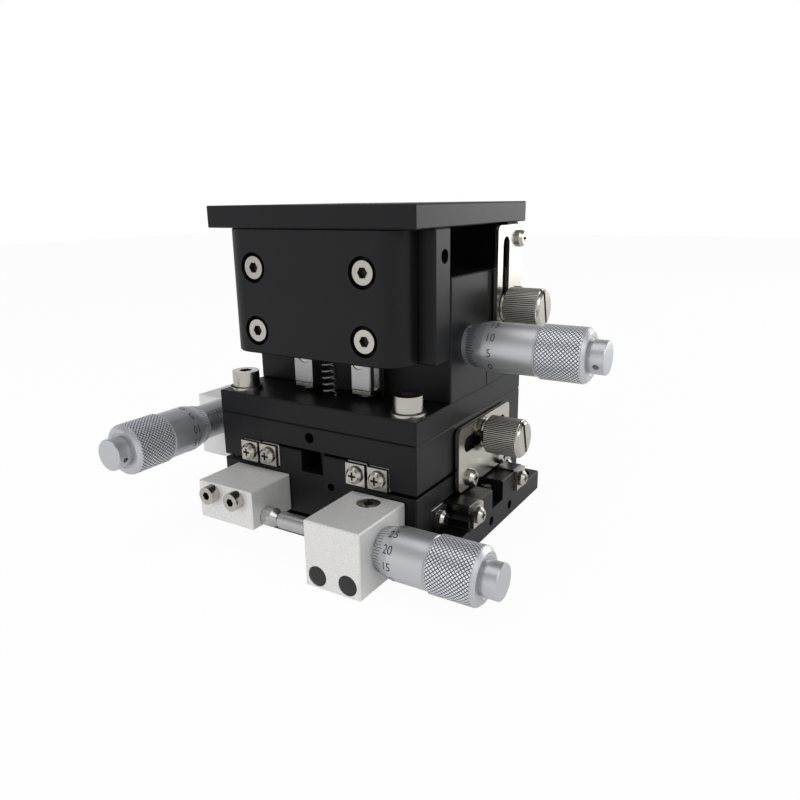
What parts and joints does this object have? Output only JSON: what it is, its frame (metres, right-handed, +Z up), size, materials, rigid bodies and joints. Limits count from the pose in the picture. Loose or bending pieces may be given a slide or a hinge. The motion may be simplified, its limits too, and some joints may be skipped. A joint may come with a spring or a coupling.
{
  "type": "xyz linear stage",
  "caption": "Three-axis manual linear stage on crossed-roller guides, with micrometer heads, slotted lock plates with knurled screws, a wedge lift and a flat black table.",
  "frame": {"origin": "centre of the underside of the base plate", "axes": "+X to the right along the X micrometer, +Y to the back, +Z up through the table"},
  "size_m": [0.1131, 0.1013, 0.0831],
  "materials": {
    "black_anodised": "satin",
    "silver_anodised": "bead blasted",
    "ground_steel": "ground",
    "satin_chrome": "satin",
    "nickel": "polished"
  },
  "bodies": {
    "base": {"base_plate": "black_anodised", "x_inner_rails": "ground_steel", "x_inner_rail_screws": "nickel", "x_mic_holder": "silver_anodised", "x_mic_sleeve": "satin_chrome", "base_screws": "nickel", "x_lock_plate": "nickel", "x_spring": "ground_steel"},
    "x_carriage": {"cross_block": "black_anodised", "x_outer_rails": "ground_steel", "x_outer_rail_screws": "nickel", "y_inner_rails": "ground_steel", "y_inner_rail_screws": "nickel", "x_anvil_block": "silver_anodised", "x_anvil_screws": "nickel", "x_anvil_pin": "ground_steel", "y_mic_holder": "silver_anodised", "y_mic_sleeve": "satin_chrome", "y_holder_screws": "nickel", "y_lock_plate": "nickel", "y_lock_screws": "nickel", "y_spring": "ground_steel"},
    "y_carriage": {"y_carriage_block": "black_anodised", "y_outer_rails": "ground_steel", "y_outer_rail_screws": "nickel", "lift_plate": "black_anodised", "lift_plate_screws": "nickel", "lift_column": "black_anodised", "lift_rear_block": "black_anodised", "z_inner_rails": "ground_steel", "z_inner_rail_screws": "nickel", "z_mic_sleeve": "satin_chrome", "y_anvil_block": "silver_anodised", "y_anvil_screws": "nickel", "y_anvil_pin": "ground_steel", "z_spring": "ground_steel"},
    "lift_slide": {"table": "black_anodised", "slide_screws": "nickel", "z_front_block": "black_anodised", "z_side_wings": "black_anodised", "z_outer_rails": "ground_steel", "z_outer_rail_screws": "nickel", "z_rear_bracket": "black_anodised", "z_lock_plate": "nickel", "z_lift_fork": "ground_steel"},
    "lift_roller": {"z_lift_roller": "ground_steel"},
    "wedge": {"z_wedge": "ground_steel"},
    "x_roller_cages": {"x_cages": "ground_steel"},
    "y_roller_cages": {"y_cages": "ground_steel"},
    "z_roller_cages": {"z_cages": "ground_steel"},
    "x_micrometer": {"x_thimble": "satin_chrome", "x_spindle": "ground_steel"},
    "y_micrometer": {"y_thimble": "satin_chrome", "y_spindle": "ground_steel"},
    "z_micrometer": {"z_thimble": "satin_chrome", "z_spindle": "ground_steel"},
    "x_knob": {"x_lock_knob": "nickel"},
    "y_knob": {"y_lock_knob": "nickel"},
    "z_knob": {"z_lock_knob": "nickel"}
  },
  "joints": [
    {"name": "x_travel", "type": "slide", "parent": "base", "child": "x_carriage", "axis": [1, 0, 0], "range_m": [0, 0.013], "deforming": ["x_spring"]},
    {"name": "x_cage_travel", "type": "slide", "parent": "base", "child": "x_roller_cages", "axis": [1, 0, 0], "range_m": [0, 0.0065]},
    {"name": "x_thimble_turn", "type": "hinge", "parent": "x_carriage", "child": "x_micrometer", "pos_m": [0.03, -0.0394, 0.0092], "axis": [1, 0, 0], "range_deg": [0, 9361]},
    {"name": "y_travel", "type": "slide", "parent": "x_carriage", "child": "y_carriage", "axis": [0, 1, 0], "range_m": [-0.0061, 0.0065], "deforming": ["y_spring"]},
    {"name": "y_cage_travel", "type": "slide", "parent": "x_carriage", "child": "y_roller_cages", "axis": [0, 1, 0], "range_m": [-0.00305, 0.00325]},
    {"name": "y_thimble_turn", "type": "hinge", "parent": "y_carriage", "child": "y_micrometer", "pos_m": [-0.0464, -0.03, 0.0253], "axis": [0, 1, 0], "range_deg": [-4393, 4681]},
    {"name": "z_travel", "type": "slide", "parent": "y_carriage", "child": "lift_slide", "axis": [0, 0, 1], "range_m": [-0.006, 0.001], "deforming": ["z_spring"]},
    {"name": "z_cage_travel", "type": "slide", "parent": "y_carriage", "child": "z_roller_cages", "axis": [0, 0, 1], "range_m": [-0.003, 0.0005]},
    {"name": "wedge_travel", "type": "slide", "parent": "y_carriage", "child": "wedge", "axis": [1, 0, 0], "range_m": [-0.001, 0.006]},
    {"name": "z_thimble_turn", "type": "hinge", "parent": "wedge", "child": "z_micrometer", "pos_m": [0.03, -0.0034, 0.0494], "axis": [1, 0, 0], "range_deg": [-721, 4321]},
    {"name": "lift_roller_turn", "type": "hinge", "parent": "lift_slide", "child": "lift_roller", "pos_m": [-0.01312, -0.0034, 0.06015], "axis": [0, 1, 0], "continuous": true},
    {"name": "x_lock_turn", "type": "hinge", "parent": "x_carriage", "child": "x_knob", "pos_m": [-0.007, 0.032, 0.0136], "axis": [0, 1, 0], "range_deg": [0, 180]},
    {"name": "y_lock_turn", "type": "hinge", "parent": "y_carriage", "child": "y_knob", "pos_m": [0.025, 0.0036, 0.0245], "axis": [1, 0, 0], "range_deg": [0, 180]},
    {"name": "z_lock_turn", "type": "hinge", "parent": "y_carriage", "child": "z_knob", "pos_m": [0.025, 0.0143, 0.0566], "axis": [1, 0, 0], "range_deg": [0, 180]}
  ],
  "couplings": [
    {"joint": "x_cage_travel", "follows": "x_travel", "ratio": 0.5},
    {"joint": "x_thimble_turn", "follows": "x_travel", "rad_per_m": 12566},
    {"joint": "y_cage_travel", "follows": "y_travel", "ratio": 0.5},
    {"joint": "y_thimble_turn", "follows": "y_travel", "rad_per_m": 12566},
    {"joint": "z_cage_travel", "follows": "z_travel", "ratio": 0.5},
    {"joint": "wedge_travel", "follows": "z_travel", "ratio": -1},
    {"joint": "z_thimble_turn", "follows": "z_travel", "rad_per_m": -12566}
  ]
}
